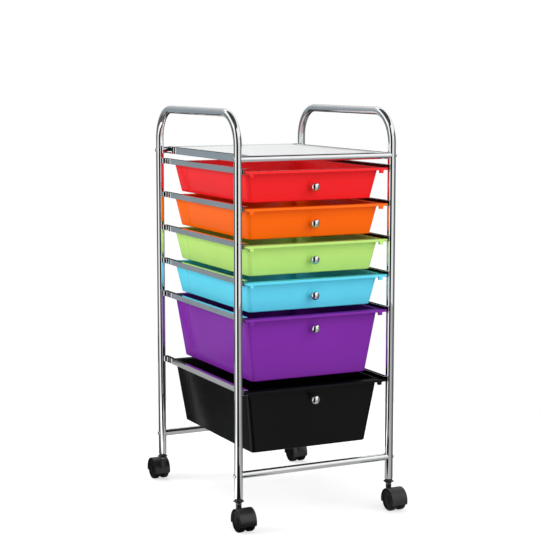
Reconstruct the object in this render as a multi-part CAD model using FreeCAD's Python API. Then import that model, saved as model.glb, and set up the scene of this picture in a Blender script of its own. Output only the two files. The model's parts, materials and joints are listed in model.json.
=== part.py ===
import FreeCAD, Part
import math
import os

# Rolling storage cart: a chrome tube frame on four twin-wheel casters, with a mesh shelf
# on top and six plastic drawers that slide in channel rails.
# Millimetres, +Z up, the front faces -Y, the origin is on the floor under the centre.

Vec = FreeCAD.Vector
X_AXIS = Vec(1, 0, 0)
Z_AXIS = Vec(0, 0, 1)
ORIGIN = Vec(0, 0, 0)
LEFT, RIGHT = -1, 1
FRONT, REAR = -1, 1
SIDE_NAMES = {LEFT: "left", RIGHT: "right"}
END_NAMES = {FRONT: "front", REAR: "rear"}
LEGS = [(side, end) for side in (LEFT, RIGHT) for end in (FRONT, REAR)]

# Frame tubes
post_spacing_x = 338.0
post_spacing_y = 394.4
post_diameter = 16.5
handle_diameter = 15.9
tube_wall = 1.0
cross_tube_diameter = 14.0
cross_tube_height = 106.0
handle_rise = 95.0
handle_bend_radius = 64.0
handle_end_drop = 8.0
spigot_length = 25.0
spigot_clearance = 0.1
cut_overrun = 5.0

# Shelf
shelf_height = 720.5
shelf_bar_inset = 15.0
shelf_bar_flange = 10.0
shelf_bar_sheet = 1.2
mesh_thickness = 1.0
mesh_edge_gap = 0.2
mesh_border = 6.0
mesh_strand = 4.0
mesh_columns = 14
mesh_rows = 20

# Rails
rail_height = 10.9
rail_flange = 9.0
rail_sheet = 0.9
rail_drop = 28.6
rail_slots = (0, 1, 2, 3, 4, 6)
deep_slots = 2
stack_clearance = 26.5
rail_end_overhang = 6.8
rail_stop_inset = 10.5
rail_stop_gap = 0.5

# Drawers
rim_side_gap = 0.9
rim_seat_gap = 0.1
rim_width = 16.5
rim_side_width = 12.6
rim_height = 3.9
rim_sheet = 2.2
rim_lip = 1.8
rim_corner = 5.0
front_lip_drop = 1.1
front_lip_side_gap = 1.0
drawer_wall = 1.8
drawer_floor = 2.2
drawer_corner = 9.0
drawer_bottom_bevel = 2.4
shallow_gap = 8.8
shallow_side_draft = 11.1
shallow_front_draft = 13.5
shallow_rear_draft = 13.0
deep_gap = 13.1
deep_side_draft = 18.3
deep_front_draft = 16.0
deep_rear_draft = 13.5
side_step = 0.7
side_step_setback = 65.0
tab_width = 8.7
tab_length = 5.9
tab_drop = 6.9
tab_inset = 16.0

# Knobs
knob_drop_shallow = 31.6
knob_drop_deep = 27.2
pad_diameter = 21.0
pad_height = 1.0
boss_diameter = 12.0
boss_height = 2.0
knob_base_radius = 4.0
knob_neck_radius = 3.3
knob_head_radius = 9.0
knob_length = 18.4
knob_neck_share = 0.2
knob_flare_share = 0.48
knob_widest_share = 0.72
screw_radius = 2.0
screw_head_radius = 4.0
screw_head_height = 2.4
screw_depth = 9.0
screw_clearance = 0.05

# Bolts and inserts
bolt_radius = 3.0
bolt_head_radius = 4.4
bolt_crown_radius = 2.6
bolt_crown_height = 1.1
bolt_rim_height = 1.0
bolt_end_gap = 2.4
bolt_clearance = 0.15
insert_length = 14.0
fit_clearance = 0.05

# Casters
wheel_radius = 22.0
wheel_width = 13.6
wheel_gap = 6.2
wheel_round = 3.6
wheel_dish = 1.2
wheel_hub_radius = 7.0
wheel_rim_width = 2.0
caster_offset = 23.3
hood_gap = 0.9
hood_wall = 1.5
hood_skirt = 7.0
hood_side_lap = 0.3
web_gap = 0.6
hood_hub_radius = 6.0
collar_radius = 5.6
collar_rise = 2.6
collar_sink = 4.0
axle_radius = 2.5
axle_end_gap = 3.7
stem_radius = 3.5
stem_sink = 12.0
stem_shoulder_radius = 4.7
stem_shoulder_height = 1.7
stem_rise = 20.0
swivel_gap = 0.3

# Leg sockets
socket_neck_radius = 6.6
socket_neck_height = 1.2
socket_flange_radius = 10.4
socket_flange_height = 0.8
socket_flare_height = 2.0
socket_throat_radius = 7.6
socket_throat_height = 3.6
socket_plug_height = 24.0
socket_wall_clearance = 0.1

# Derived sizes
half_x = post_spacing_x / 2
half_y = post_spacing_y / 2
post_radius = post_diameter / 2
post_bore = post_radius - tube_wall
handle_radius = handle_diameter / 2
cross_radius = cross_tube_diameter / 2
cross_bore = cross_radius - tube_wall
post_top = shelf_height - handle_end_drop
handle_top = shelf_height + handle_rise - handle_radius
web_outer = half_x - post_radius
rail_inner = web_outer - rail_flange
rail_reach = half_y + rail_end_overhang
rail_top = shelf_height - rail_drop + rail_height
rim_top = rail_top - rail_height + rail_sheet + rim_seat_gap + rim_height
rim_half_width = web_outer - rail_sheet - rim_side_gap
rim_front = rail_reach
rim_rear = rail_reach - rail_stop_inset - rail_stop_gap
stack_bottom = cross_tube_height + cross_radius + stack_clearance
rail_pitch = (rim_top + deep_gap - stack_bottom) / (rail_slots[-1] + deep_slots)
shallow_depth = rail_pitch - shallow_gap
deep_depth = rail_pitch * deep_slots - deep_gap
hood_radius = wheel_radius + hood_gap + hood_wall
hood_web = wheel_gap - web_gap * 2
caster_width = wheel_gap + (wheel_width + hood_side_lap) * 2
collar_top = wheel_radius + hood_radius + collar_rise
collar_foot = wheel_radius + collar_sink
axle_half = wheel_gap / 2 + wheel_width - axle_end_gap
socket_bottom = collar_top + stem_shoulder_height + swivel_gap
socket_height = (socket_neck_height + socket_flare_height + socket_flange_height
                 + socket_flare_height + socket_throat_height)
post_bottom = socket_bottom + socket_height

# Drawer colours from the top, and whether each drawer is a deep one
DRAWERS = (
    ("red", False),
    ("orange", False),
    ("lime", False),
    ("blue", False),
    ("purple", True),
    ("black", True),
)


def save(shape, node):
    shape.exportStep("parts/" + node + ".step")


def box(x0, x1, y0, y1, z0, z1):
    return Part.makeBox(x1 - x0, y1 - y0, z1 - z0, Vec(x0, y0, z0))


def side_box(side, near, far, y0, y1, z0, z1):
    """Box whose X range, near to far from the middle, lies on the given side."""
    x0, x1 = sorted((side * near, side * far))
    return box(x0, x1, y0, y1, z0, z1)


def rod(radius, start, axis, length):
    return Part.makeCylinder(radius, length, start, axis)


def tube(outer, inner, start, axis, length):
    return rod(outer, start, axis, length).cut(rod(inner, start, axis, length))


def rounded_wire(half_width, front, rear, z, radius):
    """Closed rectangle with round corners at height z."""
    bulge = radius * math.sqrt(0.5)
    corners = (
        (half_width - radius, radius - front, 1, -1),
        (half_width - radius, rear - radius, 1, 1),
        (radius - half_width, rear - radius, -1, 1),
        (radius - half_width, radius - front, -1, -1),
    )
    arcs = []
    for index, (x, y, sx, sy) in enumerate(corners):
        on_end = Vec(x, y + sy * radius, z)
        on_side = Vec(x + sx * radius, y, z)
        middle = Vec(x + sx * bulge, y + sy * bulge, z)
        ends = (on_end, on_side) if index % 2 == 0 else (on_side, on_end)
        arcs.append((ends[0], middle, ends[1]))
    edges = []
    for index, (start, middle, stop) in enumerate(arcs):
        edges.append(Part.Arc(start, middle, stop).toShape())
        following = arcs[(index + 1) % len(arcs)][0]
        edges.append(Part.makeLine(stop, following))
    return Part.Wire(edges)


def turned(edges, place, out):
    """Solid of revolution drawn round +Z, then turned so that +Z points along out."""
    body = Part.Face(Part.Wire(edges)).revolve(ORIGIN, Z_AXIS, 360)
    body.Placement = FreeCAD.Placement(place, FreeCAD.Rotation(Z_AXIS, out))
    return body


# Frame tubes

def leg_radius(height):
    """Outer radius of the upright tube at a height: a post, or a handle's leg above it."""
    return handle_radius if height > post_top else post_radius


def leg_rod(side, end, height):
    """Short solid length of the upright tube, to shape what meets it."""
    foot = Vec(side * half_x, end * half_y, height - post_diameter)
    return rod(leg_radius(height), foot, Z_AXIS, post_diameter * 2)


def bolt_hole(side, end, height):
    start = Vec(side * (half_x - post_diameter), end * half_y, height)
    return rod(bolt_radius + bolt_clearance, start, X_AXIS * side, post_diameter * 2)


def post(side, end):
    start = Vec(side * half_x, end * half_y, post_bottom)
    body = tube(post_radius, post_bore, start, Z_AXIS, post_top - post_bottom)
    return body.cut(bolt_hole(side, end, cross_tube_height))


def handle_path(side):
    x = side * half_x
    bend = handle_bend_radius
    turn = bend * math.sqrt(0.5)
    low = handle_top - bend
    front_up = Vec(x, -half_y, low)
    front_mid = Vec(x, bend - half_y - turn, low + turn)
    front_in = Vec(x, bend - half_y, handle_top)
    rear_in = Vec(x, half_y - bend, handle_top)
    rear_mid = Vec(x, half_y - bend + turn, low + turn)
    rear_up = Vec(x, half_y, low)
    return Part.Wire([
        Part.makeLine(Vec(x, -half_y, post_top), front_up),
        Part.Arc(front_up, front_mid, front_in).toShape(),
        Part.makeLine(front_in, rear_in),
        Part.Arc(rear_in, rear_mid, rear_up).toShape(),
        Part.makeLine(rear_up, Vec(x, half_y, post_top)),
    ])


def swept(path, radius, start):
    ring = Part.Wire([Part.makeCircle(radius, start, Z_AXIS)])
    return path.makePipeShell([ring], True, False)


def handle(side):
    """Bent tube whose swaged ends drop into the posts."""
    path = handle_path(side)
    start = Vec(side * half_x, -half_y, post_top)
    body = swept(path, handle_radius, start).cut(swept(path, handle_radius - tube_wall, start))
    spigot_outer = post_bore - spigot_clearance
    spigot_inner = spigot_outer - tube_wall
    for end in (FRONT, REAR):
        foot = Vec(side * half_x, end * half_y, post_top - spigot_length)
        shoulder = Vec(side * half_x, end * half_y, post_top)
        body = body.fuse(tube(handle_radius, spigot_inner, shoulder, Z_AXIS, tube_wall))
        body = body.fuse(tube(spigot_outer, spigot_inner, foot, Z_AXIS, spigot_length))
        body = body.cut(bolt_hole(side, end, shelf_height))
    return body.removeSplitter()


def spanning_rod(end, height, radius):
    """Solid round bar from leg to leg along X, with its ends shaped to the legs."""
    start = Vec(-half_x, end * half_y, height)
    body = rod(radius, start, X_AXIS, post_spacing_x)
    for side in (LEFT, RIGHT):
        body = body.cut(leg_rod(side, end, height))
    return body


def cross_tube(end):
    outer = spanning_rod(end, cross_tube_height, cross_radius)
    return outer.cut(spanning_rod(end, cross_tube_height, cross_bore))


def insert(side, end, height):
    """Threaded plug in the end of a tube that meets a leg."""
    start = Vec(side * half_x, end * half_y, height)
    length = leg_radius(height) + insert_length
    body = tube(cross_bore - fit_clearance, bolt_radius + fit_clearance, start, X_AXIS * -side, length)
    return body.cut(leg_rod(side, end, height))


def frame_bolt(side, end, height):
    """Bolt whose crowned head is shaped to sit on the round tube."""
    middle = Vec(side * half_x, end * half_y, height)
    outward = X_AXIS * side
    radius = leg_radius(height)
    head = rod(bolt_head_radius, middle, outward, radius + bolt_rim_height)
    crown_foot = middle + outward * (radius + bolt_rim_height)
    crown = Part.makeCone(bolt_head_radius, bolt_crown_radius, bolt_crown_height, crown_foot, outward)
    head = head.fuse(crown).cut(leg_rod(side, end, height))
    reach = radius + insert_length - bolt_end_gap
    shank = rod(bolt_radius, middle - outward * reach, outward, reach + radius + bolt_rim_height)
    return head.fuse(shank).removeSplitter()


# Shelf

def shelf_bar(side):
    """Side bar: a channel open towards the middle of the shelf."""
    outer = half_x - shelf_bar_inset
    inner = outer - shelf_bar_flange
    low = shelf_height - cross_radius
    high = shelf_height + cross_radius
    body = side_box(side, inner, outer, -half_y, half_y, low, high)
    gap = side_box(side, inner - cut_overrun, outer - shelf_bar_sheet, -half_y, half_y,
                   low + shelf_bar_sheet, high - shelf_bar_sheet)
    return body.cut(gap)


def shelf_frame():
    """Two side bars welded between the front and rear tubes."""
    body = shelf_bar(LEFT).fuse(shelf_bar(RIGHT))
    for end in (FRONT, REAR):
        body = body.fuse(spanning_rod(end, shelf_height, cross_radius))
    for end in (FRONT, REAR):
        body = body.cut(spanning_rod(end, shelf_height, cross_bore))
    return body.removeSplitter()


def diamond(x, y, z, half_width, half_length):
    points = [
        Vec(x - half_width, y, z),
        Vec(x, y + half_length, z),
        Vec(x + half_width, y, z),
        Vec(x, y - half_length, z),
    ]
    return Part.makePolygon(points + points[:1])


def shelf_mesh():
    """Mesh deck under the bars' top flanges: one sheet with staggered diamond openings."""
    half_width = half_x - shelf_bar_inset - shelf_bar_sheet - mesh_edge_gap
    top = shelf_height + cross_radius - shelf_bar_sheet
    bottom = top - mesh_thickness
    tube_edge = math.sqrt(cross_radius ** 2 - (bottom - shelf_height) ** 2)
    half_length = half_y - tube_edge - mesh_edge_gap
    pitch_x = (half_width - mesh_border) * 2 / (mesh_columns + 0.5)
    pitch_y = (half_length - mesh_border) * 2 / mesh_rows
    corners = [
        Vec(-half_width, -half_length, bottom),
        Vec(half_width, -half_length, bottom),
        Vec(half_width, half_length, bottom),
        Vec(-half_width, half_length, bottom),
    ]
    wires = [Part.makePolygon(corners + corners[:1])]
    for row in range(mesh_rows):
        y = (row - (mesh_rows - 1) / 2) * pitch_y
        stagger = pitch_x / 4 if row % 2 else -pitch_x / 4
        for column in range(mesh_columns):
            x = (column - (mesh_columns - 1) / 2) * pitch_x + stagger
            wires.append(diamond(x, y, bottom, (pitch_x - mesh_strand) / 2, pitch_y - mesh_strand))
    return Part.Face(wires, "Part::FaceMakerBullseye").extrude(Z_AXIS * mesh_thickness)


# Rails

def rail(side, slot):
    """Channel rail with a bent stop behind the closed drawer's rim."""
    top = rail_top - slot * rail_pitch
    low = top - rail_height
    body = side_box(side, rail_inner, web_outer, -rail_reach, rail_reach, low, top)
    gap = side_box(side, rail_inner - cut_overrun, web_outer - rail_sheet,
                   -rail_reach - cut_overrun, rail_reach + cut_overrun,
                   low + rail_sheet, top - rail_sheet)
    stop_y = rail_reach - rail_stop_inset
    stop = side_box(side, rail_inner, web_outer, stop_y, stop_y + rail_sheet, low, top)
    return body.cut(gap).fuse(stop).removeSplitter()


# Drawers. Each is drawn with the top of its rim at height zero, and then put in its slot.

def in_slot(shape, slot):
    shape.translate(Z_AXIS * (rim_top - slot * rail_pitch))
    return shape


def drawer_depth(deep):
    return deep_depth if deep else shallow_depth


def drawer_drafts(deep):
    """How far the side, front and rear walls lean in from top to bottom."""
    if deep:
        return deep_side_draft, deep_front_draft, deep_rear_draft
    return shallow_side_draft, shallow_front_draft, shallow_rear_draft


def walls_at(drop, deep, inset):
    """Half width, front and rear of the walls at a drop below the rim's top."""
    share = drop / drawer_depth(deep)
    side_draft, front_draft, rear_draft = drawer_drafts(deep)
    half_width = rim_half_width - rim_side_width - side_draft * share - inset
    front = rim_front - rim_width - front_draft * share - inset
    rear = rim_rear - rim_width - rear_draft * share - inset
    return half_width, front, rear


def tapered(sections, corner):
    """Solid through rounded rectangles, each given as (half width, front, rear, height)."""
    wires = [rounded_wire(half_width, front, rear, z, corner) for half_width, front, rear, z in sections]
    return Part.makeLoft(wires, True, True)


def drawer_outside(deep, widening):
    """Tapered outer block with a bevelled bottom edge."""
    depth = drawer_depth(deep)
    sections = []
    for drop, inset in ((depth, drawer_bottom_bevel), (depth - drawer_bottom_bevel, 0), (0, 0)):
        half_width, front, rear = walls_at(drop, deep, inset)
        sections.append((half_width + widening, front, rear, -drop))
    return tapered(sections, drawer_corner)


def drawer_inside(deep):
    """Space inside the walls, from the floor up past the rim."""
    depth = drawer_depth(deep) - drawer_floor
    sections = []
    for drop, inset in ((depth, drawer_wall + drawer_bottom_bevel), (depth - drawer_bottom_bevel, drawer_wall),
                        (-cut_overrun, drawer_wall)):
        sections.append(walls_at(drop, deep, inset) + (-drop,))
    return tapered(sections, drawer_corner - drawer_wall)


def side_panels(deep):
    """The rear stretch of both sides stands slightly proud of the front stretch."""
    reach = rim_half_width + cut_overrun
    keep = box(-reach, reach, rim_rear - rim_width - side_step_setback, rim_rear, -drawer_depth(deep), 0)
    return drawer_outside(deep, side_step).common(keep)


def rim():
    """Flat rim with a turned-down lip, a deeper lip along the front and two front tabs."""
    seat = -rim_height
    outer = rounded_wire(rim_half_width, rim_front, rim_rear, seat, rim_corner)
    inner = rounded_wire(rim_half_width - rim_lip, rim_front - rim_lip, rim_rear - rim_lip,
                         seat, rim_corner - rim_lip)
    body = Part.Face(outer).extrude(Z_AXIS * rim_height)
    body = body.cut(Part.Face(inner).extrude(Z_AXIS * (rim_height - rim_sheet)))
    lip_half = rail_inner - front_lip_side_gap
    body = body.fuse(box(-lip_half, lip_half, -rim_front, rim_lip - rim_front, seat - front_lip_drop, 0))
    for side in (LEFT, RIGHT):
        near = rim_half_width - tab_inset - tab_width / 2
        body = body.fuse(side_box(side, near, near + tab_width, -rim_front, tab_length - rim_front,
                                  seat - tab_drop, 0))
    return body


def knob_place(deep):
    """Point on the front wall under the knob, and the wall's outward direction."""
    drop = knob_drop_deep if deep else knob_drop_shallow
    front = walls_at(drop, deep, 0)[1]
    lean = math.atan2(drawer_drafts(deep)[1], drawer_depth(deep))
    return Vec(0, -front, -drop), Vec(0, -math.cos(lean), -math.sin(lean))


def drawer(deep):
    body = drawer_outside(deep, 0).fuse(side_panels(deep)).fuse(rim())
    point, out = knob_place(deep)
    back = point - out * drawer_wall
    body = body.fuse(rod(pad_diameter / 2, back, out, drawer_wall + pad_height))
    body = body.fuse(rod(boss_diameter / 2, back, out, drawer_wall + boss_height))
    body = body.cut(drawer_inside(deep))
    hole = rod(screw_radius + screw_clearance, back - out * cut_overrun, out, knob_length + cut_overrun)
    return body.cut(hole).removeSplitter()


def knob(deep):
    """Mushroom knob: waisted neck, flared head with a domed front."""
    point, out = knob_place(deep)
    base = Vec(knob_base_radius, 0, 0)
    neck = Vec(knob_neck_radius, 0, knob_length * knob_neck_share)
    flare = Vec((knob_neck_radius + knob_head_radius) / 2, 0, knob_length * knob_flare_share)
    widest = Vec(knob_head_radius, 0, knob_length * knob_widest_share)
    tip = Vec(0, 0, knob_length)
    rise = tip.z - widest.z
    dome_radius = (rise ** 2 + knob_head_radius ** 2) / (rise * 2)
    turn = math.asin(knob_head_radius / dome_radius) / 2
    dome = Vec(dome_radius * math.sin(turn), 0, tip.z - dome_radius + dome_radius * math.cos(turn))
    body = turned([
        Part.makeLine(ORIGIN, base),
        Part.Arc(base, neck, flare).toShape(),
        Part.makeLine(flare, widest),
        Part.Arc(widest, dome, tip).toShape(),
        Part.makeLine(tip, ORIGIN),
    ], point + out * boss_height, out)
    hole = rod(screw_radius + screw_clearance, point, out, boss_height + screw_depth + screw_clearance)
    return body.cut(hole)


def knob_screw(deep):
    point, out = knob_place(deep)
    inside = point - out * drawer_wall
    shank = rod(screw_radius, inside, out, drawer_wall + boss_height + screw_depth)
    head = rod(screw_head_radius, inside, out * -1, screw_head_height)
    return head.fuse(shank).removeSplitter()


# Casters

def stacked(rings, foot):
    """Round solid built upwards from (bottom radius, top radius, height) rings."""
    body = None
    for low_radius, high_radius, height in rings:
        if low_radius == high_radius:
            ring = rod(low_radius, foot, Z_AXIS, height)
        else:
            ring = Part.makeCone(low_radius, high_radius, height, foot, Z_AXIS)
        body = ring if body is None else body.fuse(ring)
        foot = foot + Z_AXIS * height
    return body


def leg_socket(side, end):
    """Plastic plug in the post's end, flanged below, with a bore for the caster's stem."""
    foot = Vec(side * half_x, end * half_y, socket_bottom)
    body = stacked((
        (socket_neck_radius, socket_neck_radius, socket_neck_height),
        (socket_neck_radius, socket_flange_radius, socket_flare_height),
        (socket_flange_radius, socket_flange_radius, socket_flange_height),
        (socket_flange_radius, socket_throat_radius, socket_flare_height),
        (socket_throat_radius, post_bore, socket_throat_height),
        (post_bore - socket_wall_clearance, post_bore - socket_wall_clearance, socket_plug_height),
    ), foot)
    bore = rod(stem_radius + fit_clearance, foot, Z_AXIS, stem_rise + swivel_gap)
    return body.cut(bore).removeSplitter()


def axle_centre(side, end):
    return Vec(side * half_x, end * (half_y + caster_offset), wheel_radius)


def caster_hood(side, end):
    """Curved cover over both wheels, with the web that holds the axle and the stem collar."""
    centre = axle_centre(side, end)
    swivel = Vec(side * half_x, end * half_y, collar_foot)
    left_face = centre - X_AXIS * (caster_width / 2)
    outer = rod(hood_radius, left_face, X_AXIS, caster_width)
    collar = rod(collar_radius, swivel, Z_AXIS, collar_top - collar_foot)
    inner = rod(hood_radius - hood_wall, left_face - X_AXIS * cut_overrun, X_AXIS,
                caster_width + cut_overrun * 2)
    web_face = centre - X_AXIS * (hood_web / 2)
    web = rod(hood_radius - hood_wall / 2, web_face, X_AXIS, hood_web)
    reach = hood_radius * 2
    below = box(centre.x - reach, centre.x + reach, centre.y - reach, centre.y + reach,
                -reach, wheel_radius - hood_skirt)
    body = outer.fuse(collar).cut(inner).fuse(web).cut(below)
    body = body.fuse(rod(hood_hub_radius, web_face, X_AXIS, hood_web))
    stem_foot = swivel + Z_AXIS * (collar_top - collar_foot - stem_sink)
    body = body.cut(rod(axle_radius, web_face, X_AXIS, hood_web))
    return body.cut(rod(stem_radius, stem_foot, Z_AXIS, stem_sink)).removeSplitter()


def caster_pins(side, end):
    """Swivel stem with its shoulder ring, and the wheels' axle."""
    top = Vec(side * half_x, end * half_y, collar_top)
    stem = rod(stem_radius, top - Z_AXIS * stem_sink, Z_AXIS, stem_sink + stem_shoulder_height + stem_rise)
    stem = stem.fuse(rod(stem_shoulder_radius, top, Z_AXIS, stem_shoulder_height))
    axle = rod(axle_radius, axle_centre(side, end) - X_AXIS * axle_half, X_AXIS, axle_half * 2)
    return Part.makeCompound([stem.removeSplitter(), axle])


def caster_wheel(side, end, half):
    """One wheel of a pair: round-edged tread, dished outer face, blind bore for the axle."""
    outward = X_AXIS * half
    face = axle_centre(side, end) + outward * (wheel_gap / 2)
    body = rod(wheel_radius, face, outward, wheel_width)
    body = body.makeFillet(wheel_round, [edge for edge in body.Edges if edge.Closed])
    dish_radius = wheel_radius - wheel_round - wheel_rim_width
    dish_face = face + outward * (wheel_width - wheel_dish)
    body = body.cut(tube(dish_radius, wheel_hub_radius, dish_face, outward, wheel_dish))
    bore_length = axle_half - wheel_gap / 2 + fit_clearance
    return body.cut(rod(axle_radius + fit_clearance, face, outward, bore_length))


def save_frame():
    for side, end in LEGS:
        save(post(side, end), "%s_%s_post" % (END_NAMES[end], SIDE_NAMES[side]))
    for side in (LEFT, RIGHT):
        save(handle(side), SIDE_NAMES[side] + "_handle")
    for end in (FRONT, REAR):
        save(cross_tube(end), END_NAMES[end] + "_cross_tube")
    joints = [(side, end, height) for side, end in LEGS for height in (cross_tube_height, shelf_height)]
    save(Part.makeCompound([frame_bolt(*joint) for joint in joints]), "frame_bolts")
    save(Part.makeCompound([insert(*joint) for joint in joints]), "tube_inserts")
    save(Part.makeCompound([leg_socket(*leg) for leg in LEGS]), "leg_sockets")
    save(shelf_frame(), "shelf_frame")
    save(shelf_mesh(), "shelf_mesh")


def save_drawers():
    for slot, (colour, deep) in zip(rail_slots, DRAWERS):
        for side in (LEFT, RIGHT):
            save(rail(side, slot), "%s_drawer_%s_rail" % (colour, SIDE_NAMES[side]))
        save(in_slot(drawer(deep), slot), colour + "_drawer")
        save(in_slot(knob(deep), slot), colour + "_drawer_knob")
        save(in_slot(knob_screw(deep), slot), colour + "_drawer_knob_screw")


def save_casters():
    for side, end in LEGS:
        name = "%s_%s_caster_" % (END_NAMES[end], SIDE_NAMES[side])
        save(caster_hood(side, end), name + "hood")
        save(caster_pins(side, end), name + "pins")
        for half in (LEFT, RIGHT):
            save(caster_wheel(side, end, half), name + SIDE_NAMES[half] + "_wheel")


os.makedirs("parts", exist_ok=True)
save_frame()
save_drawers()
save_casters()
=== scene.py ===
# Rolling storage cart: the finish of every piece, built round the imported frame.
# Metres, +Z up, the front faces -Y, the origin is on the floor under the middle of the cart.

import json
import math

import bmesh
import bpy
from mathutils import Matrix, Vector


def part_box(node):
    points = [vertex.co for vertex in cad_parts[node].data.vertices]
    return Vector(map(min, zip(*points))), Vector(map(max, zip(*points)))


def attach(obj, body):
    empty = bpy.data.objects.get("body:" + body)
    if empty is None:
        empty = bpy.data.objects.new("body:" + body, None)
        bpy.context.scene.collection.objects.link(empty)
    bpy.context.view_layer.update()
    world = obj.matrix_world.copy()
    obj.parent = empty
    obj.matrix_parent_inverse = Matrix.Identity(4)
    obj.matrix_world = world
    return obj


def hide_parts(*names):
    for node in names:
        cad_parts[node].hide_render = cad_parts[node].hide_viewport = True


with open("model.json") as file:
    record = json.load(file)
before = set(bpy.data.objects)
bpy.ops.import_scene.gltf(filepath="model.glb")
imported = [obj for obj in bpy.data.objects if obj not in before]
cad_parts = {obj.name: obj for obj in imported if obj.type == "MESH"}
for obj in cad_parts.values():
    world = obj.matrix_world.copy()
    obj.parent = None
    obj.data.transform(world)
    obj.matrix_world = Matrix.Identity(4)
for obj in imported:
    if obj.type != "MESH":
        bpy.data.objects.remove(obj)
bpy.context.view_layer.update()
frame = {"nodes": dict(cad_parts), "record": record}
MM = 0.001

# Joining points and shading smoothly: distances, and angles in degrees
weld_distance = 0.002 * MM
cad_weld_distance = 0.001 * MM
flat_join_angle = 0.6
rounded_edge_angle = 28.0
smooth_angle = 35.0
bolt_smooth_angle = 40.0
strand_smooth_angle = 50.0

# Steps along a rounding
corner_steps = 7
floor_round_steps = 5
edge_round_steps = 4
small_round_steps = 3
cad_round_steps = 2

# Camera, at the photograph's angle
camera_place = Vector((-1.38526, -2.82665, 0.88708))
camera_heading = 26.03
camera_dip = 7.43
camera_lens = 101.80
camera_sensor = 36.0

# Drawers
COLOURS = ("red", "orange", "lime", "blue", "purple", "black")
DEEP = ("purple", "black")
rim_width = 16.5 * MM
rim_side_width = 12.6 * MM
rim_height = 3.9 * MM
rim_sheet = 2.2 * MM
rim_lip = 1.8 * MM
rim_corner = 5.0 * MM
rim_edge_round = 1.1 * MM
lip_edge_round = 0.5 * MM
front_lip_drop = 1.1 * MM
front_lip_inset = 8.2 * MM
front_lip_ramp = 0.6 * MM
drawer_wall = 1.8 * MM
drawer_floor = 2.2 * MM
drawer_corner = 9.0 * MM
inner_edge_round = 1.2 * MM
inner_floor_round = 3.0 * MM
under_rim_round = 0.8 * MM
bottom_round = 2.4 * MM
side_step = 0.7 * MM
side_step_setback = 81.5 * MM
side_step_ramp = 0.8 * MM
shallow_drafts = (11.1 * MM, 13.5 * MM, 13.0 * MM)
deep_drafts = (18.3 * MM, 16.0 * MM, 13.5 * MM)
tab_width = 8.7 * MM
tab_foot_width = 7.9 * MM
tab_length = 5.9 * MM
tab_drop = 10.8 * MM
tab_inset = 16.0 * MM
tab_setback = 0.15 * MM
tab_round = 0.7 * MM

# Knob seats on the drawer fronts
knob_drop_shallow = 31.6 * MM
knob_drop_deep = 27.2 * MM
pad_radius = 10.5 * MM
pad_height = 1.0 * MM
boss_radius = 6.0 * MM
boss_height = 2.0 * MM
seat_round = 0.35 * MM
pad_facets = 48

# Frame bolts
bolt_head_radius = 4.4 * MM
bolt_head_height = 2.1 * MM
bolt_rim_height = 0.42 * MM
bolt_dome_power = 0.62
bolt_dome_steps = 6
bolt_sink = 1.5 * MM
bolt_facets = 36
socket_sides = 6
socket_radius = 1.5 * MM
socket_depth = 1.3 * MM
socket_edge_flare = 1.12
socket_edge_depth = 0.12 * MM
socket_point_depth = 0.3 * MM
post_radius = 8.25 * MM
handle_radius = 7.95 * MM

# Roundings on the metal pieces and the hoods
rail_edge_round = 0.3 * MM
tube_edge_round = 0.35 * MM
hood_edge_round = 0.5 * MM

# Rails: what lies deeper than this under a channel's outer faces is its inside, which gets painted shade
channel_skin = 0.4 * MM

# Shelf mesh
strand_pitch = 2.6 * MM
strand_radius = 0.38 * MM
strand_flatness = 0.3
strand_lean = 40.0
strand_sides = 6
hem_width = 2.4 * MM
hem_thickness = 0.9 * MM
hem_round = 0.2 * MM


# Shader maths

class Shade:
    """A number, colour or vector that comes out of a shader node."""

    def __init__(self, finish, socket):
        self.finish = finish
        self.socket = socket

    def maths(self, operation, first, second):
        return self.finish.add("ShaderNodeMath", {"operation": operation}, first, second)

    def __add__(self, other):
        return self.maths("ADD", self, other)

    def __radd__(self, other):
        return self.maths("ADD", other, self)

    def __sub__(self, other):
        return self.maths("SUBTRACT", self, other)

    def __rsub__(self, other):
        return self.maths("SUBTRACT", other, self)

    def __mul__(self, other):
        return self.maths("MULTIPLY", self, other)

    def __rmul__(self, other):
        return self.maths("MULTIPLY", other, self)

    def at_least(self, other):
        return self.maths("MAXIMUM", self, other)


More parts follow.
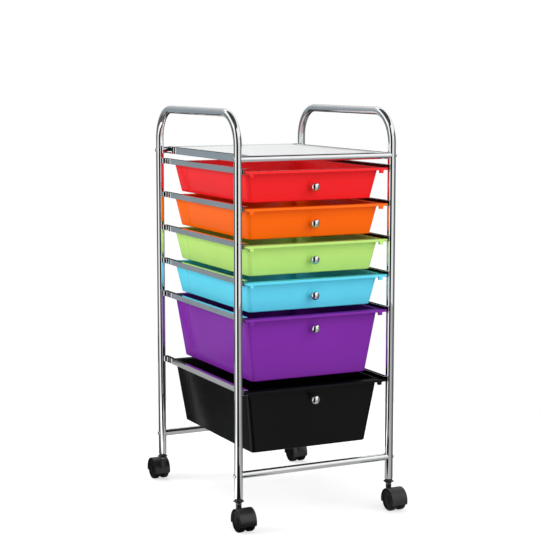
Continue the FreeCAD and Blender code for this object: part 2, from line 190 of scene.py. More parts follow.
class Finish:
    """The nodes of one material, or of the world. Patterns follow the piece's own coordinates."""

    def __init__(self, name, tree=None):
        self.material = None
        if tree is None:
            self.material = bpy.data.materials.new(name)
            self.material.use_nodes = True
            tree = self.material.node_tree
        self.tree = tree
        self.tree.nodes.clear()

    def feed(self, socket, value):
        if isinstance(value, Shade):
            self.tree.links.new(value.socket, socket)
        elif value is not None:
            socket.default_value = value

    def add(self, kind, settings=None, *values, output=0, **named):
        """Adds a node: its settings first, then its inputs in order or by name."""
        node = self.tree.nodes.new(kind)
        for key, value in (settings or {}).items():
            if key == "stops":
                self.set_stops(node.color_ramp, value)
            else:
                setattr(node, key, value)
        for index, value in enumerate(values):
            self.feed(node.inputs[index], value)
        for key, value in named.items():
            self.feed(node.inputs[key.replace("_", " ")], value)
        return Shade(self, node.outputs[output]) if node.outputs else None

    def set_stops(self, ramp, stops):
        """Each stop is a position on the ramp and its grey level."""
        while len(ramp.elements) < len(stops):
            ramp.elements.new(1.0)
        for element, (position, level) in zip(ramp.elements, stops):
            element.position = position
            element.color = (level, level, level, 1.0)

    def noise(self, scale, detail=2.0, stretch=(1.0, 1.0, 1.0)):
        place = self.add("ShaderNodeTexCoord", output="Object")
        place = self.add("ShaderNodeMapping", None, place, Scale=stretch)
        return self.add("ShaderNodeTexNoise", None, Vector=place, Scale=scale, Detail=detail)

    def ramp(self, value, *stops):
        return self.add("ShaderNodeValToRGB", {"stops": stops}, value)

    def blend(self, factor, first, second):
        mix = self.tree.nodes.new("ShaderNodeMix")
        mix.data_type = "RGBA"
        for socket, value in ((mix.inputs[0], factor), (mix.inputs[6], first), (mix.inputs[7], second)):
            self.feed(socket, value)
        return Shade(self, mix.outputs[2])

    def bump(self, height, strength, distance):
        return self.add("ShaderNodeBump", None, Strength=strength, Distance=distance, Height=height)

    def background_mask(self):
        """1 where the camera, a reflection or a clear piece looks at the surface, 0 where light does."""
        path = self.tree.nodes.new("ShaderNodeLightPath")
        camera, glossy, clear = (Shade(self, path.outputs[label]) for label in
                                 ("Is Camera Ray", "Is Glossy Ray", "Is Transmission Ray"))
        return camera.at_least(glossy.at_least(clear))

    def surface(self, **named):
        """Closes the material with one surface shader."""
        shader = self.add("ShaderNodeBsdfPrincipled", None, **named)
        self.add("ShaderNodeOutputMaterial", None, shader)
        return self.material


def rgb(red, green, blue):
    return (red, green, blue, 1.0)


def toned(colour, share):
    """A colour at a share of its strength."""
    return tuple(share * channel for channel in colour[:3]) + (1.0,)


# Finishes

# Painted shade: faces inside the rail channels take this near-black colour in place of the chrome,
# standing in for the shade there
CHANNEL_PAINTED_SHADE_MASK = "channel_inside"
CHANNEL_SHADE = rgb(0.03, 0.03, 0.032)


def chrome(name, colour, dull):
    """Polished plate: near mirror, with faint wiping marks."""
    finish = Finish(name)
    wipes = finish.noise(scale=38.0, detail=4.0, stretch=(1.0, 1.0, 0.25))
    grains = finish.noise(scale=420.0)
    wiped = finish.ramp(wipes, (0.35, 0.0), (0.75, 1.0))
    return finish.surface(
        Base_Color=finish.blend(wiped, colour, toned(colour, 0.94)),
        Metallic=1.0,
        Roughness=dull + 0.02 * wipes + 0.01 * grains,
        Normal=finish.bump(grains, strength=0.05, distance=0.02 * MM),
    )


def rolled_chrome(name, colour):
    """Plate on rolled channel: drawn lines run along the rails, and the channel's inside is painted near
    black as painted shade.
    """
    finish = Finish(name)
    lines = finish.noise(scale=900.0, detail=3.0, stretch=(1.0, 0.012, 1.0))
    clouds = finish.noise(scale=26.0, detail=3.0, stretch=(1.0, 0.35, 1.0))
    streaks = finish.ramp(0.55 * lines + 0.45 * clouds, (0.32, 0.0), (0.68, 1.0))
    plate = finish.blend(streaks, toned(colour, 0.78), colour)
    # Painted shade: the channel's inside is coloured near black instead of plate
    inside = finish.add("ShaderNodeAttribute", {"attribute_name": CHANNEL_PAINTED_SHADE_MASK}, output="Fac")
    return finish.surface(
        Base_Color=finish.blend(inside, plate, CHANNEL_SHADE),
        Metallic=1.0,
        Roughness=0.1 - 0.05 * streaks,
        Normal=finish.bump(lines, strength=0.12, distance=0.03 * MM),
    )


def silver_paint(name, dull_colour, bright_colour):
    """Powder coat with fine flakes in it."""
    finish = Finish(name)
    flakes = finish.noise(scale=2600.0)
    clouds = finish.noise(scale=60.0, detail=3.0)
    return finish.surface(
        Base_Color=finish.blend(0.6 * flakes + 0.4 * clouds, dull_colour, bright_colour),
        Metallic=0.3,
        Roughness=0.3 + 0.2 * clouds,
        Normal=finish.bump(flakes, strength=0.15, distance=0.02 * MM),
    )


def zinc_plate(name, colour):
    """Clouded zinc with a fine turned grain."""
    finish = Finish(name)
    turning = finish.noise(scale=1500.0)
    clouds = finish.noise(scale=180.0, detail=3.0)
    return finish.surface(
        Base_Color=finish.blend(clouds, toned(colour, 0.75), colour),
        Metallic=1.0,
        Roughness=0.22 + 0.16 * clouds,
        Normal=finish.bump(turning, strength=0.1, distance=0.02 * MM),
    )


def black_nylon(name, colour, gloss, smoothest, roughest):
    """Moulded nylon with a fine spark-eroded grain."""
    finish = Finish(name)
    grain = finish.noise(scale=3200.0)
    clouds = finish.noise(scale=90.0, detail=4.0)
    return finish.surface(
        Base_Color=finish.blend(clouds, colour, toned(colour, 1.7)),
        Roughness=smoothest + (roughest - smoothest) * clouds,
        Specular_IOR_Level=gloss,
        Normal=finish.bump(grain, strength=0.25, distance=0.04 * MM),
    )


def moulded_plastic(name, colour, flow):
    """Drawer plastic: even colour with slight flow marks and a soft gloss."""
    finish = Finish(name)
    marks = finish.noise(scale=9.0, detail=4.0, stretch=(1.0, 1.0, 0.45))
    skin = finish.noise(scale=760.0, detail=3.0)
    specks = finish.noise(scale=150.0, detail=3.0)
    flowed = finish.ramp(marks, (0.3, 0.0), (0.7, 1.0))
    return finish.surface(
        Base_Color=finish.blend(flowed, toned(colour, 1.0 - flow), colour),
        Roughness=0.14 + 0.06 * specks + 0.04 * marks,
        Specular_IOR_Level=0.16,
        Normal=finish.bump(skin, strength=0.12, distance=0.04 * MM),
    )


MATERIALS = {
    "chrome_tube": chrome("polished_chrome_tube", rgb(0.93, 0.94, 0.95), 0.006),
    "chrome_small": chrome("polished_chrome_fittings", rgb(0.94, 0.945, 0.95), 0.015),
    "chrome_rail": rolled_chrome("rolled_chrome_channel", rgb(0.96, 0.975, 0.98)),
    "mesh_metal": silver_paint("silver_painted_mesh", rgb(0.84, 0.85, 0.86), rgb(0.95, 0.96, 0.96)),
    "screw_steel": zinc_plate("zinc_screw", rgb(0.66, 0.67, 0.69)),
    "pin_steel": zinc_plate("zinc_pin", rgb(0.7, 0.71, 0.73)),
    "insert_plastic": black_nylon("black_insert_nylon", rgb(0.03, 0.03, 0.03), 0.3, 0.45, 0.6),
    "caster_plastic": black_nylon("black_caster_nylon", rgb(0.005, 0.005, 0.0055), 0.85, 0.36, 0.46),
    "wheel_plastic": black_nylon("black_wheel_nylon", rgb(0.0035, 0.0035, 0.004), 0.2, 0.38, 0.55),
    "red_plastic": moulded_plastic("red_drawer_plastic", rgb(0.86, 0.018, 0.022), 0.05),
    "orange_plastic": moulded_plastic("orange_drawer_plastic", rgb(0.97, 0.14, 0.002), 0.04),
    "lime_plastic": moulded_plastic("lime_drawer_plastic", rgb(0.49, 0.77, 0.19), 0.05),
    "blue_plastic": moulded_plastic("blue_drawer_plastic", rgb(0.12, 0.66, 0.85), 0.05),
    "purple_plastic": moulded_plastic("purple_drawer_plastic", rgb(0.19, 0.021, 0.33), 0.06),
    "black_plastic": moulded_plastic("black_drawer_plastic", rgb(0.0035, 0.0035, 0.0035), 0.1),
}
SLOTS = {part["node"]: part["material_slot"] for part in frame["record"]["subparts"]}
BODIES = frame["record"]["behaviour"]["bodies"]
BODY_OF = {node: body for body, nodes in BODIES.items() for node in nodes}


# Making and fitting pieces

def in_scene(name, data):
    """A new object in the scene, at the origin."""
    thing = bpy.data.objects.new(name, data)
    bpy.context.scene.collection.objects.link(thing)
    return thing


def joined_mesh(name, bm):
    """Merges what touches, turns the faces outwards and makes a mesh of it."""
    bmesh.ops.remove_doubles(bm, verts=bm.verts, dist=weld_distance)
    bmesh.ops.recalc_face_normals(bm, faces=bm.faces)
    mesh = bpy.data.meshes.new(name)
    bm.to_mesh(mesh)
    bm.free()
    return mesh


def fitted(name, mesh, node, angle=smooth_angle, weigh=True):
    """Makes the piece that stands for a CAD node, with that node's finish and body."""
    mesh.polygons.foreach_set("use_smooth", [True] * len(mesh.polygons))
    mesh.set_sharp_from_angle(angle=math.radians(angle))
    mesh.materials.clear()
    mesh.materials.append(MATERIALS[SLOTS[node]])
    piece = in_scene(name, mesh)
    if weigh:
        normals = piece.modifiers.new("even shading", "WEIGHTED_NORMAL")
        normals.keep_sharp = True
    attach(piece, BODY_OF[node])
    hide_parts(node)
    return piece


def mark_channel_painted_shade(bm, side):
    """Marks the faces that look into a rail's channel, which opens towards the middle of the cart, for
    the painted shade.
    """
    layer = bm.faces.layers.float.new(CHANNEL_PAINTED_SHADE_MASK)
    heights = [vert.co.z for vert in bm.verts]
    low, high = min(heights), max(heights)
    outside = max(side * vert.co.x for vert in bm.verts)
    for face in bm.faces:
        middle = face.calc_center_median()
        depth = min(high - middle.z, middle.z - low, outside - side * middle.x)
        face[layer] = 1.0 if depth > channel_skin else 0.0


def softened(node, rounding, channel_side=0):
    """A copy of a CAD piece with its points merged and its edges rounded."""
    bm = bmesh.new()
    bm.from_mesh(frame["nodes"][node].data)
    bmesh.ops.remove_doubles(bm, verts=bm.verts, dist=cad_weld_distance)
    bmesh.ops.dissolve_limit(bm, verts=bm.verts, edges=bm.edges,
                             angle_limit=math.radians(flat_join_angle))
    sharp = [edge for edge in bm.edges if len(edge.link_faces) == 2
             and edge.calc_face_angle() > math.radians(rounded_edge_angle)]
    bmesh.ops.bevel(bm, geom=sharp, offset=rounding, segments=cad_round_steps, profile=0.5,
                    affect="EDGES", clamp_overlap=True)
    # The rails' channel insides are marked here for their painted shade
    if channel_side:
        mark_channel_painted_shade(bm, channel_side)
    name = node + "_finished"
    return fitted(name, joined_mesh(name, bm), node)


def bridge(bm, rings, close_start=True, close_end=True):
    """Joins rings of as many points each into one skin."""
    rows = [[bm.verts.new(point) for point in ring] for ring in rings]
    count = len(rows[0])
    for lower, upper in zip(rows, rows[1:]):
        for index in range(count):
            following = (index + 1) % count
            bm.faces.new((lower[index], lower[following], upper[following], upper[index]))
    if close_start:
        bm.faces.new(list(reversed(rows[0])))
    if close_end:
        bm.faces.new(rows[-1])


def turned_rings(profile, place, out, count):
    """Rings of a turned piece: profile points are (radius, distance along out)."""
    turn = out.to_track_quat("Z", "Y").to_matrix()
    rings = []
    for radius, along in profile:
        ring = []
        for index in range(count):
            angle = 2 * math.pi * index / count
            local = Vector((radius * math.cos(angle), radius * math.sin(angle), along))
            ring.append(place + turn @ local)
        rings.append(ring)
    return rings


def quarter(count):
    """Angles of a quarter turn, in even steps."""
    return [math.pi / 2 * index / count for index in range(count + 1)]


# Node trees for what repeats

class Tree:
    """A Geometry Nodes tree with named inputs."""

    def __init__(self, name, inputs):
        self.group = bpy.data.node_groups.new(name, "GeometryNodeTree")
        self.sockets = {}
        self.add_socket("Geometry", "Geometry", "INPUT")
        for label, kind in inputs:
            self.sockets[label] = self.add_socket(label, kind, "INPUT").identifier
        self.add_socket("Geometry", "Geometry", "OUTPUT")
        self.start = self.group.nodes.new("NodeGroupInput")

    def add_socket(self, label, kind, way):
        return self.group.interface.new_socket(label, in_out=way, socket_type="NodeSocket" + kind)

    def given(self, label):
        return self.start.outputs[label]

    def add(self, kind, settings=None, *values, output=0, **named):
        node = self.group.nodes.new(kind)
        for key, value in (settings or {}).items():
            setattr(node, key, value)
        pairs = [(node.inputs[index], value) for index, value in enumerate(values)]
        pairs += [(node.inputs[key.replace("_", " ")], value) for key, value in named.items()]
        for socket, value in pairs:
            if isinstance(value, bpy.types.NodeSocket):
                self.group.links.new(value, socket)
            elif value is not None:
                socket.default_value = value
        return node.outputs[output]

    def maths(self, operation, first, second=None):
        return self.add("ShaderNodeMath", {"operation": operation}, first, second)

    def close(self, geometry):
        geometry = self.add("GeometryNodeRealizeInstances", None, geometry)
        geometry = self.add("GeometryNodeSetMaterial", None, geometry, Material=self.given("Material"))
        end = self.group.nodes.new("NodeGroupOutput")
        self.group.links.new(geometry, end.inputs[0])

    def mesh_from(self, holder, values):
        """Sets the inputs on a modifier, gives the result as a plain mesh and clears the holder away."""
        modifier = holder.modifiers.new("made", "NODES")
        modifier.node_group = self.group
        for label, value in values.items():
            modifier[self.sockets[label]] = value
        graph = bpy.context.evaluated_depsgraph_get()
        graph.update()
        mesh = bpy.data.meshes.new_from_object(holder.evaluated_get(graph))
        holder.modifiers.remove(modifier)
        bpy.data.objects.remove(holder)
        return mesh


def holder_of(name, points):
    """An object of loose points for a tree to work on."""
    mesh = bpy.data.meshes.new(name)
    mesh.from_pydata(points, [], [])
    return in_scene(name, mesh)


# Drawers

class DrawerShape:
    """The sizes of one drawer, read from its CAD box and its kind."""

    def __init__(self, colour):
        low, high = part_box(colour + "_drawer")
        self.deep = colour in DEEP
        self.half_width = high.x
        self.front = -low.y
        self.rear = high.y
        self.top = high.z
        self.depth = high.z - low.z
        self.drafts = deep_drafts if self.deep else shallow_drafts
        self.step_y = self.rear - side_step_setback

    def walls(self, drop):
        share = drop / self.depth
        side, front, rear = self.drafts
        return (self.half_width - rim_side_width - side * share,
                self.front - rim_width - front * share,
                self.rear - rim_width - rear * share)

    def ring(self, half_width, front, rear, corner, drop, step=0.0, lowering=0.0):
        """Rectangle with round corners, a step in both sides and a lowered stretch in front."""
        z = self.top - drop
        x, y = half_width - corner, corner
        points = []

        def arc(centre_x, centre_y, start):
            for angle in quarter(corner_steps):
                turn = math.radians(start) + angle
                points.append(Vector((centre_x + corner * math.cos(turn),
                                      centre_y + corner * math.sin(turn), z)))

        arc(x, y - front, -90)
        points.append(Vector((half_width, self.step_y, z)))
        points.append(Vector((half_width + step, self.step_y + side_step_ramp, z)))
        arc(x + step, rear - y, 0)
        arc(-x - step, rear - y, 90)
        points.append(Vector((-half_width - step, self.step_y + side_step_ramp, z)))
        points.append(Vector((-half_width, self.step_y, z)))
        arc(-x, y - front, 180)
        lip = min(self.half_width - front_lip_inset, x)
        for along, low in ((-lip, 0), (-lip + front_lip_ramp, 1), (lip - front_lip_ramp, 1), (lip, 0)):
            points.append(Vector((along, -front, z - low * lowering)))
        return points

    def wall_ring(self, drop, inset, corner, step=0.0):
        half_width, front, rear = self.walls(drop)
        return self.ring(half_width - inset, front - inset, rear - inset, corner, drop, step)

    def rim_ring(self, drop, inset, lowering=0.0):
        return self.ring(self.half_width - inset, self.front - inset, self.rear - inset,
                         rim_corner - inset, drop, 0.0, lowering)

    def shell(self):
        """Rings from the inside of the floor, up over the rim and down to the underside."""
        rings = []
        floor = self.depth - drawer_floor
        for turn in quarter(floor_round_steps):
            inset = drawer_wall + inner_floor_round * (1 - math.sin(turn))
            rings.append(self.wall_ring(floor - inner_floor_round * (1 - math.cos(turn)), inset,
                                        drawer_corner - inset))
        for turn in quarter(edge_round_steps):
            inset = drawer_wall - inner_edge_round * (1 - math.cos(turn))
            rings.append(self.wall_ring(inner_edge_round * (1 - math.sin(turn)), inset,
                                        drawer_corner - inset))
        for turn in quarter(edge_round_steps):
            rings.append(self.rim_ring(rim_edge_round * (1 - math.cos(turn)),
                                       rim_edge_round * (1 - math.sin(turn))))
        for turn in quarter(small_round_steps):
            rings.append(self.rim_ring(rim_height - lip_edge_round * (1 - math.sin(turn)),
                                       lip_edge_round * (1 - math.cos(turn)), front_lip_drop))
        for turn in quarter(small_round_steps):
            rings.append(self.rim_ring(rim_height - lip_edge_round * (1 - math.cos(turn)),
                                       rim_lip - lip_edge_round * (1 - math.sin(turn)), front_lip_drop))
        rings.append(self.rim_ring(rim_sheet, rim_lip))
        for turn in quarter(small_round_steps):
            rings.append(self.wall_ring(rim_sheet + under_rim_round * (1 - math.cos(turn)),
                                        -under_rim_round * (1 - math.sin(turn)),
                                        drawer_corner, side_step))
        for turn in quarter(edge_round_steps):
            inset = bottom_round * (1 - math.cos(turn))
            rings.append(self.wall_ring(self.depth - bottom_round * (1 - math.sin(turn)), inset,
                                        drawer_corner - inset, side_step))
        return rings

    def knob_seat(self):
        """Point on the front wall under the knob, and the wall's outward direction."""
        drop = knob_drop_deep if self.deep else knob_drop_shallow
        lean = math.atan2(self.drafts[1], self.depth)
        place = Vector((0, -self.walls(drop)[1], self.top - drop))
        return place, Vector((0, -math.cos(lean), -math.sin(lean)))


def block(bm, corners, rounding):
    """Eight-cornered block, lower four corners first, with rounded edges."""
    verts = [bm.verts.new(corner) for corner in corners]
    faces = [bm.faces.new([verts[index] for index in side]) for side in (
        (3, 2, 1, 0), (4, 5, 6, 7), (0, 1, 5, 4), (1, 2, 6, 5), (2, 3, 7, 6), (3, 0, 4, 7))]
    edges = list(dict.fromkeys(edge for face in faces for edge in face.edges))
    bmesh.ops.bevel(bm, geom=edges, offset=rounding, segments=small_round_steps, profile=0.5,
                    affect="EDGES")


def front_tabs(bm, shape):
    """Two tapered tabs that stand below the front lip."""
    for side in (-1, 1):
        middle = side * (shape.half_width - tab_inset)
        near = tab_setback - shape.front
        far = tab_length - shape.front
        corners = []
        for width, drop in ((tab_foot_width, tab_drop), (tab_width, rim_sheet)):
            left, right, z = middle - width / 2, middle + width / 2, shape.top - drop
            corners += [(left, near, z), (right, near, z), (right, far, z), (left, far, z)]
        block(bm, corners, tab_round)


def round_edge(radius, height):
    """Profile points over the rounded edge of a disc."""
    return [(radius - seat_round * (1 - math.cos(turn)), height - seat_round * (1 - math.sin(turn)))
            for turn in quarter(small_round_steps)]


def knob_pads(bm, shape):
    """Raised pad and boss that the knob is screwed to."""
    place, out = shape.knob_seat()
    foot = -drawer_wall / 2
    profile = [(0, foot), (pad_radius, foot)]
    profile += round_edge(pad_radius, pad_height)
    profile += [(boss_radius + seat_round, pad_height), (boss_radius, pad_height + seat_round)]
    profile += round_edge(boss_radius, boss_height)
    profile.append((0, boss_height))
    bridge(bm, turned_rings(profile, place, out, pad_facets), False, False)


def finish_drawer(colour):
    shape = DrawerShape(colour)
    bm = bmesh.new()
    bridge(bm, shape.shell())
    front_tabs(bm, shape)
    knob_pads(bm, shape)
    name = colour + "_drawer_moulding"
    return fitted(name, joined_mesh(name, bm), colour + "_drawer")


# Frame bolts

def bolt_head_mesh():
    """Domed head with a hexagon socket, drawn along +Z from the tube's surface."""
    circle = [1.0] * bolt_facets
    hexagon = []
    for index in range(bolt_facets):
        share = index / bolt_facets * socket_sides % 1 - 0.5
        hexagon.append(1 / math.cos(share * 2 * math.pi / socket_sides))
    dome = bolt_head_height - bolt_rim_height
    outline = [(circle, bolt_head_radius, -bolt_sink), (circle, bolt_head_radius, bolt_rim_height)]
    for turn in quarter(bolt_dome_steps)[1:-1]:
        outline.append((circle, bolt_head_radius * math.cos(turn) ** bolt_dome_power,
                        bolt_rim_height + dome * math.sin(turn)))
    outline += [
        (hexagon, socket_radius * socket_edge_flare, bolt_head_height),
        (hexagon, socket_radius, bolt_head_height - socket_edge_depth),
        (hexagon, socket_radius, bolt_head_height - socket_depth),
        (circle, 0, bolt_head_height - socket_depth - socket_point_depth),
    ]
    rings = []
    for form, radius, height in outline:
        ring = []
        for index, reach in enumerate(form):
            angle = 2 * math.pi * index / bolt_facets
            across = radius * reach
            ring.append(Vector((across * math.cos(angle), across * math.sin(angle), height)))
        rings.append(ring)
    bm = bmesh.new()
    bridge(bm, rings, True, False)
    return joined_mesh("bolt_head", bm)


def bolt_tree():
    """Sets one bolt head on every point, turned along the point's outward side."""
    tree = Tree("bolts_on_points", (("Bolt", "Object"), ("Material", "Material")))
    bolt = tree.add("GeometryNodeObjectInfo", None, tree.given("Bolt"), output="Geometry")
    place = tree.add("GeometryNodeInputPosition")
    across = tree.add("ShaderNodeSeparateXYZ", None, place, output="X")
    side = tree.maths("SIGN", across)
    turn = tree.maths("MULTIPLY", side, math.pi / 2)
    rotation = tree.add("ShaderNodeCombineXYZ", None, 0.0, turn, 0.0)
    heads = tree.add("GeometryNodeInstanceOnPoints", None, tree.given("Geometry"),
                     Instance=bolt, Rotation=rotation)
    tree.close(heads)
    return tree


def finish_bolts():
    """Eight heads: on the posts by the cross tubes, and on the handles by the shelf."""
    post_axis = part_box("front_left_post")[0] + post_radius * Vector((1, 1, 0))
    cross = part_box("front_cross_tube")
    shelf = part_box("shelf_frame")
    points = []
    for (low, high), radius in ((cross, post_radius), (shelf, handle_radius)):
        z = (low.z + high.z) / 2
        for side in (-1, 1):
            for end in (-1, 1):
                points.append((side * (abs(post_axis.x) + radius), end * abs(post_axis.y), z))
    bolt = in_scene("bolt_head_pattern", bolt_head_mesh())
    mesh = bolt_tree().mesh_from(holder_of("bolt_points", points),
                                 {"Bolt": bolt, "Material": MATERIALS["chrome_small"]})
    bpy.data.objects.remove(bolt)
    return fitted("frame_bolt_heads", mesh, "frame_bolts", bolt_smooth_angle, False)


# Shelf mesh

def strand_tree():
    """Lays slanted strands both ways across a rectangle and trims them to its edges."""
    tree = Tree("shelf_strands", (
        ("Half Width", "Float"), ("Half Length", "Float"), ("Pitch", "Float"), ("Lean", "Float"),
        ("Strand Radius", "Float"), ("Height", "Float"), ("Material", "Material")))
    wide = tree.given("Half Width")
    long = tree.given("Half Length")
    slope = tree.maths("TANGENT", tree.given("Lean"))
    reach = tree.add("ShaderNodeMath", {"operation": "MULTIPLY_ADD"}, long, slope, wide)
    spread = tree.maths("MULTIPLY", reach, 2.0)
    count = tree.maths("CEIL", tree.maths("DIVIDE", spread, tree.given("Pitch")))
    index = tree.add("GeometryNodeInputIndex")
    middle = tree.maths("DIVIDE", tree.maths("SUBTRACT", count, 1.0), 2.0)
    offset = tree.maths("MULTIPLY", tree.maths("SUBTRACT", index, middle), tree.given("Pitch"))
    left = tree.maths("MULTIPLY", wide, -1.0)
    near = tree.maths("MULTIPLY", long, -1.0)
    join = tree.group.nodes.new("GeometryNodeJoinGeometry")
    for way in (-1.0, 1.0):
        tangent = tree.maths("MULTIPLY", slope, way)
        first = tree.maths("DIVIDE", tree.maths("SUBTRACT", left, offset), tangent)
        second = tree.maths("DIVIDE", tree.maths("SUBTRACT", wide, offset), tangent)
        low = tree.maths("MAXIMUM", near, tree.maths("MINIMUM", first, second))
        high = tree.maths("MINIMUM", long, tree.maths("MAXIMUM", first, second))
        span = tree.maths("SUBTRACT", high, low)
        length = tree.maths("DIVIDE", span, tree.maths("COSINE", tree.given("Lean")))
        along = tree.maths("DIVIDE", tree.maths("ADD", high, low), 2.0)
        across = tree.maths("ADD", offset, tree.maths("MULTIPLY", tangent, along))
        place = tree.add("ShaderNodeCombineXYZ", None, across, along, tree.given("Height"))
        points = tree.add("GeometryNodePoints", None, count, place)
        keep = tree.add("FunctionNodeCompare", {"data_type": "FLOAT", "operation": "GREATER_THAN"},
                        span, tree.given("Pitch"))
        line = tree.add("GeometryNodeCurvePrimitiveLine", None, Start=(0, -0.5, 0), End=(0, 0.5, 0))
        turn = tree.maths("MULTIPLY", tree.given("Lean"), -way)
        lines = tree.add("GeometryNodeInstanceOnPoints", None, points, keep, Instance=line,
                         Rotation=tree.add("ShaderNodeCombineXYZ", None, 0.0, 0.0, turn),
                         Scale=tree.add("ShaderNodeCombineXYZ", None, 1.0, length, 1.0))
        lines = tree.add("GeometryNodeRealizeInstances", None, lines)
        ring = tree.add("GeometryNodeCurvePrimitiveCircle", None, Resolution=strand_sides,
                        Radius=tree.given("Strand Radius"))
        strands = tree.add("GeometryNodeCurveToMesh", None, lines, ring, Fill_Caps=True)
        tree.group.links.new(strands, join.inputs[0])
    tree.close(join.outputs[0])
    return tree


def hem_bars(bm, half_width, half_length, z):
    """Four flat bars along the edges of the mesh."""
    heights = (z - hem_thickness / 2, z + hem_thickness / 2)
    for end in (-1, 1):
        for across, span, edge in ((True, half_width, half_length), (False, half_length, half_width)):
            near, far = sorted((end * (edge - hem_width), end * edge))
            ring = [(-span, near), (span, near), (span, far), (-span, far)]
            if not across:
                ring = [(x, y) for y, x in reversed(ring)]
            block(bm, [(x, y, height) for height in heights for x, y in ring], hem_round)


def finish_mesh():
    """Flattened strands between the middles of the hem bars."""
    low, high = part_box("shelf_mesh")
    z = (low.z + high.z) / 2
    strands = strand_tree().mesh_from(holder_of("strand_points", [(0, 0, 0)]), {
        "Half Width": high.x - hem_width / 2, "Half Length": high.y - hem_width / 2,
        "Pitch": strand_pitch, "Lean": math.radians(strand_lean), "Strand Radius": strand_radius,
        "Height": z, "Material": MATERIALS["mesh_metal"]})
    bm = bmesh.new()
    bm.from_mesh(strands)
    for vert in bm.verts:
        vert.co.z = z + (vert.co.z - z) * strand_flatness
    bpy.data.meshes.remove(strands)
    hem_bars(bm, high.x, high.y, z)
    name = "shelf_mesh_strands"
    return fitted(name, joined_mesh(name, bm), "shelf_mesh", strand_smooth_angle, False)


# Studio

WHITE = rgb(1, 1, 1)
floor_radius = 0.95
floor_facets = 96
floor_colour = rgb(0.82, 0.82, 0.82)
floor_seen_colour = rgb(0.5, 0.5, 0.5)
floor_own_light = 0.6
ambient_level = 0.4


def pale_floor_finish():
    """Matte for the light. What looks at it sees near white, with the object's shadow on it."""
    finish = Finish("pale_floor")
    matte = finish.add("ShaderNodeBsdfDiffuse", None, Color=floor_colour)
    glow = finish.add("ShaderNodeEmission", None, Color=WHITE, Strength=floor_own_light)
    shadowed = finish.add("ShaderNodeBsdfDiffuse", None, Color=floor_seen_colour)
    bright = finish.add("ShaderNodeAddShader", None, glow, shadowed)
    both = finish.add("ShaderNodeMixShader", None, finish.background_mask(), matte, bright)
    finish.add("ShaderNodeOutputMaterial", None, both)
    return finish.material


def studio_floor():
    bm = bmesh.new()
    bmesh.ops.create_circle(bm, cap_ends=True, radius=floor_radius, segments=floor_facets)
    mesh = bpy.data.meshes.new("studio_floor")
    bm.to_mesh(mesh)
    bm.free()
    mesh.materials.append(pale_floor_finish())
    floor = in_scene("studio_floor", mesh)


def studio_world():
    """Soft light from all round, behind a plain white background."""
    world = bpy.data.worlds.new("studio_world")
    bpy.context.scene.world = world
    world.use_nodes = True
    finish = Finish("studio_world", world.node_tree)
    soft = finish.add("ShaderNodeBackground", None, WHITE, ambient_level)
    white = finish.add("ShaderNodeBackground", None, WHITE, 1.0)
    both = finish.add("ShaderNodeMixShader", None, finish.background_mask(), soft, white)
    finish.add("ShaderNodeOutputWorld", None, both)


# Cards from black to pearl stand round the cart, lie on the ground and hang above it.
# They show only in the cart's reflections. Their angles are degrees round the cart, counted
# from the line between cart and camera, to the right as the camera sees it.
card_distance = 3.0
card_lift = 0.6 * MM
card_step_angle = 4
card_blend_start = 0.9
BLACK = rgb(0.008, 0.008, 0.008)
SOOT = rgb(0.03, 0.03, 0.03)
COAL = rgb(0.05, 0.05, 0.05)
BLUE_GREY = rgb(0.27, 0.315, 0.345)
DARK_GREY = rgb(0.11, 0.115, 0.115)
MID_GREY = rgb(0.19, 0.2, 0.205)
CLAY = rgb(0.4, 0.4, 0.4)
PALE_GREY = rgb(0.47, 0.47, 0.46)
SILVER = rgb(0.56, 0.57, 0.57)
PEARL = rgb(0.82, 0.82, 0.82)
# Name, start and stop angle, lower and upper edge, colour up to the blend's start and at the top
STANDING_CARDS = (
    ("dark_card_by_camera", -36, 12, 0.0, 4.6, BLACK, BLACK),
    ("pearl_card_by_camera", 11, 34, 0.0, 2.2, PEARL, PEARL),
    ("pearl_card_front", 34, 66, 0.0, 1.2, PEARL, PEARL),
    ("grey_card_right", 66, 108, 0.0, 1.9, DARK_GREY, DARK_GREY),
    ("grey_card_far_right", 108, 156, 0.0, 1.6, MID_GREY, MID_GREY),
    ("dark_card_behind", 156, 206, 0.0, 1.2, SOOT, SOOT),
    ("silver_card_behind", 156, 206, 1.2, 3.0, SILVER, PEARL),
    ("blue_grey_card_rear_left", 206, 240, 0.0, 3.0, BLUE_GREY, SILVER),
    ("grey_card_left", 240, 288, 0.0, 1.9, DARK_GREY, DARK_GREY),
)
# Name, start and stop angle, inner and outer radius, colour
LYING_CARDS = (
    ("ground_card_under", 0, 360, 0.0, 0.26, CLAY),
    ("ground_card_by_camera_near", -32, 5, 0.26, 0.9, BLACK),
    ("ground_card_by_camera_far", -33, 11, 0.9, 3.0, BLACK),
    ("ground_card_by_camera_right", 5, 17, 0.26, 0.72, BLACK),
    ("ground_card_pale_near", 5, 17, 0.72, 0.9, PALE_GREY),
    ("ground_card_pale_right", 17, 34, 0.26, 0.9, PALE_GREY),
    ("ground_card_pale_far", 11, 34, 0.9, 3.0, PALE_GREY),
    ("ground_card_front", 34, 66, 0.26, 3.0, CLAY),
    ("ground_card_right", 66, 108, 0.26, 3.0, DARK_GREY),
    ("ground_card_far_right", 108, 156, 0.26, 3.0, MID_GREY),
    ("ground_card_behind", 156, 206, 0.26, 3.0, SOOT),
    ("ground_card_rear_left_near", 206, 240, 0.26, 2.1, COAL),
    ("ground_card_rear_left_far", 206, 240, 2.1, 3.0, BLUE_GREY),
    ("ground_card_left", 240, 288, 0.26, 3.0, DARK_GREY),
)
# The lowest rail mirrors this one, which lies a little above the ground cards
RAIL_CARD = ("pale_card_lying", 229, 250, 1.05, 1.62, CLAY)
ceiling_height = 3.5
ceiling_radius = 2.2


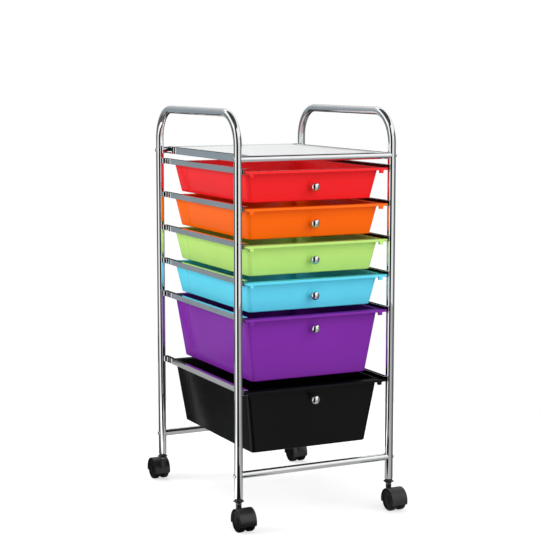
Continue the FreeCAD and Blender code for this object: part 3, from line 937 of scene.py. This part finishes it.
def card_finish(name, low_colour, high_colour, high):
    """Own light of a card, which changes evenly from one colour to the other on its way up."""
    finish = Finish(name)
    place = finish.add("ShaderNodeTexCoord", output="Object")
    height = finish.add("ShaderNodeSeparateXYZ", None, place, output="Z")
    share = finish.add("ShaderNodeMapRange", None, height, card_blend_start, high)
    glow = finish.add("ShaderNodeEmission", None, Color=finish.blend(share, low_colour, high_colour))
    finish.add("ShaderNodeOutputMaterial", None, glow)
    return finish.material


def card(name, start, stop, rows, low_colour, high_colour):
    """Curved strip round the cart between two edges, each a radius and a height."""
    toward_camera = math.atan2(camera_place.y, camera_place.x)
    steps = max(2, (stop - start) // card_step_angle)
    verts = []
    for index in range(steps + 1):
        angle = toward_camera + math.radians(start + (stop - start) * index / steps)
        verts += [(radius * math.cos(angle), radius * math.sin(angle), z) for radius, z in rows]
    faces = [(2 * i, 2 * i + 2, 2 * i + 3, 2 * i + 1) for i in range(steps)]
    mesh = bpy.data.meshes.new(name)
    mesh.from_pydata(verts, [], faces)
    mesh.materials.append(card_finish(name, low_colour, high_colour, rows[1][1]))
    panel = in_scene(name, mesh)
    panel.visible_camera = False
    panel.visible_diffuse = False
    panel.visible_shadow = False
    panel.visible_transmission = False
    panel.visible_volume_scatter = False


def flat_card(name, start, stop, near, far, colour, height):
    card(name, start, stop, ((near, height), (far, height)), colour, colour)


def studio_cards():
    for name, start, stop, low, high, low_colour, high_colour in STANDING_CARDS:
        rows = ((card_distance, low + card_lift), (card_distance, high))
        card(name, start, stop, rows, low_colour, high_colour)
    for row in LYING_CARDS:
        flat_card(*row, card_lift)
    flat_card(*RAIL_CARD, 2 * card_lift)
    flat_card("dark_card_above", 0, 360, 0.0, ceiling_radius, COAL, ceiling_height)


# Lamps: name, place, width, height, watts. The largest stands in front, to the right of the camera.
LAMPS = (
    ("soft_box_left", (-2.88, 0.83, 1.5), 1.6, 2.0, 80.0),
    ("soft_box_right", (1.1, -3.42, 1.9), 4.4, 4.0, 139.0),
    ("soft_box_behind", (0.3, 3.0, 1.9), 1.6, 1.6, 36.0),
    ("soft_box_top", (-0.2, 0.2, 3.4), 2.2, 2.2, 27.0),
)
lamp_aim = Vector((0, 0, 0.4))


def studio_lamps():
    for name, place, width, height, watts in LAMPS:
        light = bpy.data.lights.new(name, "AREA")
        light.shape = "RECTANGLE"
        light.size = width
        light.size_y = height
        light.energy = watts
        lamp = in_scene(name, light)
        lamp.location = place
        lamp.rotation_euler = (lamp_aim - Vector(place)).to_track_quat("-Z", "Y").to_euler()
        lamp.visible_glossy = False


def studio_camera():
    data = bpy.data.cameras.new("camera")
    data.lens = camera_lens
    data.sensor_width = camera_sensor
    camera = in_scene("camera", data)
    camera.location = camera_place
    camera.rotation_euler = (math.radians(90 - camera_dip), 0, math.radians(-camera_heading))
    bpy.context.scene.camera = camera
    bpy.context.scene.view_settings.view_transform = "Standard"


# The cart

def finish_carried_nodes():
    """Every CAD piece takes its finish, also where a detailed piece will stand for it."""
    for node, piece in frame["nodes"].items():
        for place in piece.material_slots:
            place.material = MATERIALS[SLOTS[node]]


studio_camera()
studio_world()
studio_floor()
studio_cards()
studio_lamps()
finish_carried_nodes()
for colour in COLOURS:
    finish_drawer(colour)
    for side, channel_side in (("left", -1), ("right", 1)):
        softened("%s_drawer_%s_rail" % (colour, side), rail_edge_round, channel_side)
for end in ("front", "rear"):
    for side in ("left", "right"):
        softened("%s_%s_post" % (end, side), tube_edge_round)
        softened("%s_%s_caster_hood" % (end, side), hood_edge_round)
softened("shelf_frame", tube_edge_round)
finish_bolts()
finish_mesh()
